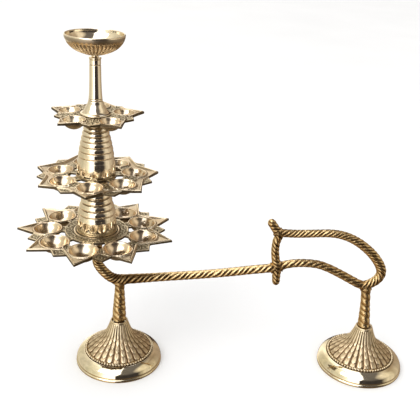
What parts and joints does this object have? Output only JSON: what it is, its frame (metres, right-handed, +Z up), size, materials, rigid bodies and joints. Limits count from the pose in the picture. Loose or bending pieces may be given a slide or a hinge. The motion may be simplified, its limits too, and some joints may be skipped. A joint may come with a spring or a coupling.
{
  "type": "tiered oil lamp with handle",
  "caption": "Brass oil lamp with star-shaped tiers of small wells and a top bowl, on a ribbed column carried by a rope-pattern handle with two domed bases.",
  "frame": {"origin": "middle of the whole lamp's footprint, on the floor", "axes": "+X along the handle, from the lamp column towards the rear base; +Z up"},
  "size_m": [0.391, 0.1467, 0.33],
  "materials": {
    "polished_brass": "turned and mirror polished, pale gold",
    "cast_brass": "cast plate with fine engraving, polished wells",
    "antique_brass": "cast rope pattern, golden ridges and dark recesses",
    "base_brass": "satin petal relief over a polished band",
    "steel": "plain"
  },
  "bodies": {
    "stand": {"front_base": "base_brass", "front_base_washer": "steel", "front_base_nut": "steel", "rear_base": "base_brass", "rear_base_washer": "steel", "rear_base_nut": "steel", "front_leg": "antique_brass", "rear_leg": "antique_brass", "neck": "antique_brass", "main_bar": "antique_brass", "guard_post": "antique_brass", "grip_top": "antique_brass", "grip_bottom": "antique_brass", "hub_collar": "polished_brass", "tie_rod": "steel", "lower_column": "polished_brass", "middle_column": "polished_brass"},
    "bottom_tier": {"bottom_tier": "cast_brass"},
    "middle_tier": {"middle_tier": "cast_brass"},
    "top_tier": {"top_tier": "cast_brass"},
    "upper_column": {"upper_column": "polished_brass"},
    "top_cup": {"top_cup": "polished_brass"}
  },
  "joints": [
    {"name": "bottom_tier_turn", "type": "hinge", "parent": "stand", "child": "bottom_tier", "pos_m": [-0.1213, 0, 0.146], "axis": [0, 0, 1], "continuous": true},
    {"name": "middle_tier_turn", "type": "hinge", "parent": "stand", "child": "middle_tier", "pos_m": [-0.1213, 0, 0.2022], "axis": [0, 0, 1], "continuous": true},
    {"name": "top_tier_turn", "type": "hinge", "parent": "stand", "child": "top_tier", "pos_m": [-0.1213, 0, 0.2592], "axis": [0, 0, 1], "continuous": true},
    {"name": "upper_column_unscrew", "type": "slide", "parent": "stand", "child": "upper_column", "axis": [0, 0, 1], "range_m": [0, 0.012]},
    {"name": "top_cup_unscrew", "type": "slide", "parent": "upper_column", "child": "top_cup", "axis": [0, 0, 1], "range_m": [0, 0.0085]}
  ]
}
